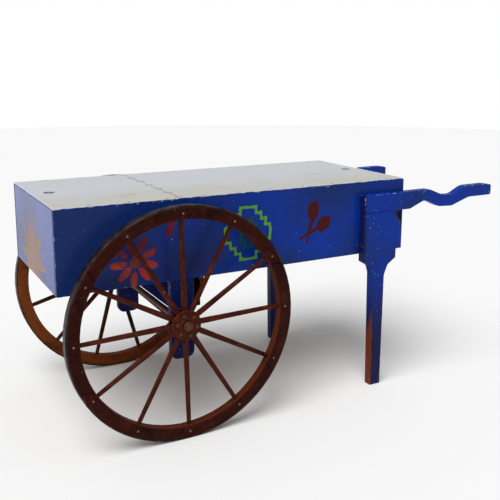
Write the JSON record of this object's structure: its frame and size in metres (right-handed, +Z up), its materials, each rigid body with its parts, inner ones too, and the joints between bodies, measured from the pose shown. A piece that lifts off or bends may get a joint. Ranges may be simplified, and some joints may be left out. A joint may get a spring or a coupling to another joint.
{
  "type": "garden cart",
  "caption": "Two-wheeled wooden hand cart with a closed box, flat deck, spoked wheels, two legs and two curved handles.",
  "frame": {"origin": "on the ground, under the middle of the cart's bounding box", "axes": "+X from the front end of the box towards the handles, +Z up, Y across between the wheels"},
  "size_m": [2.0686, 0.9072, 0.9355],
  "materials": {
    "blue_paint": "glossy blue enamel over plywood, chipped at the edges",
    "deck_paint": "pale grey paint over hardboard, satin",
    "bare_wood": "unpainted softwood",
    "brown_paint": "dark red-brown paint on hardwood, satin",
    "iron_tyre": "worn dark iron",
    "dark_steel": "brown-painted steel"
  },
  "bodies": {
    "cart": {"side_panel_left": "blue_paint", "side_panel_right": "blue_paint", "end_panel_front": "blue_paint", "end_panel_rear": "blue_paint", "floor_panel": "blue_paint", "deck_panel_front": "deck_paint", "deck_panel_rear": "deck_paint", "deck_batten": "bare_wood", "post_socket_front": "dark_steel", "post_socket_rear": "dark_steel", "bolster_beam": "blue_paint", "axle_hanger_left": "blue_paint", "axle_hanger_right": "blue_paint", "axle": "dark_steel", "axle_nut_left": "dark_steel", "axle_nut_right": "dark_steel", "handle_left": "blue_paint", "handle_right": "blue_paint", "leg_left": "blue_paint", "leg_right": "blue_paint"},
    "wheel_left": {"hub_left": "brown_paint", "spoke_left_01": "brown_paint", "spoke_left_02": "brown_paint", "spoke_left_03": "brown_paint", "spoke_left_04": "brown_paint", "spoke_left_05": "brown_paint", "spoke_left_06": "brown_paint", "spoke_left_07": "brown_paint", "spoke_left_08": "brown_paint", "spoke_left_09": "brown_paint", "spoke_left_10": "brown_paint", "spoke_left_11": "brown_paint", "spoke_left_12": "brown_paint", "felloe_left_1": "brown_paint", "felloe_left_2": "brown_paint", "felloe_left_3": "brown_paint", "felloe_left_4": "brown_paint", "felloe_left_5": "brown_paint", "felloe_left_6": "brown_paint", "tyre_left": "iron_tyre"},
    "wheel_right": {"hub_right": "brown_paint", "spoke_right_01": "brown_paint", "spoke_right_02": "brown_paint", "spoke_right_03": "brown_paint", "spoke_right_04": "brown_paint", "spoke_right_05": "brown_paint", "spoke_right_06": "brown_paint", "spoke_right_07": "brown_paint", "spoke_right_08": "brown_paint", "spoke_right_09": "brown_paint", "spoke_right_10": "brown_paint", "spoke_right_11": "brown_paint", "spoke_right_12": "brown_paint", "felloe_right_1": "brown_paint", "felloe_right_2": "brown_paint", "felloe_right_3": "brown_paint", "felloe_right_4": "brown_paint", "felloe_right_5": "brown_paint", "felloe_right_6": "brown_paint", "tyre_right": "iron_tyre"}
  },
  "joints": [
    {"name": "wheel_left_spin", "type": "hinge", "parent": "cart", "child": "wheel_left", "pos_m": [-0.5723, -0.41075, 0.462], "axis": [0, 1, 0], "continuous": true},
    {"name": "wheel_right_spin", "type": "hinge", "parent": "cart", "child": "wheel_right", "pos_m": [-0.5723, 0.41075, 0.462], "axis": [0, 1, 0], "continuous": true}
  ]
}
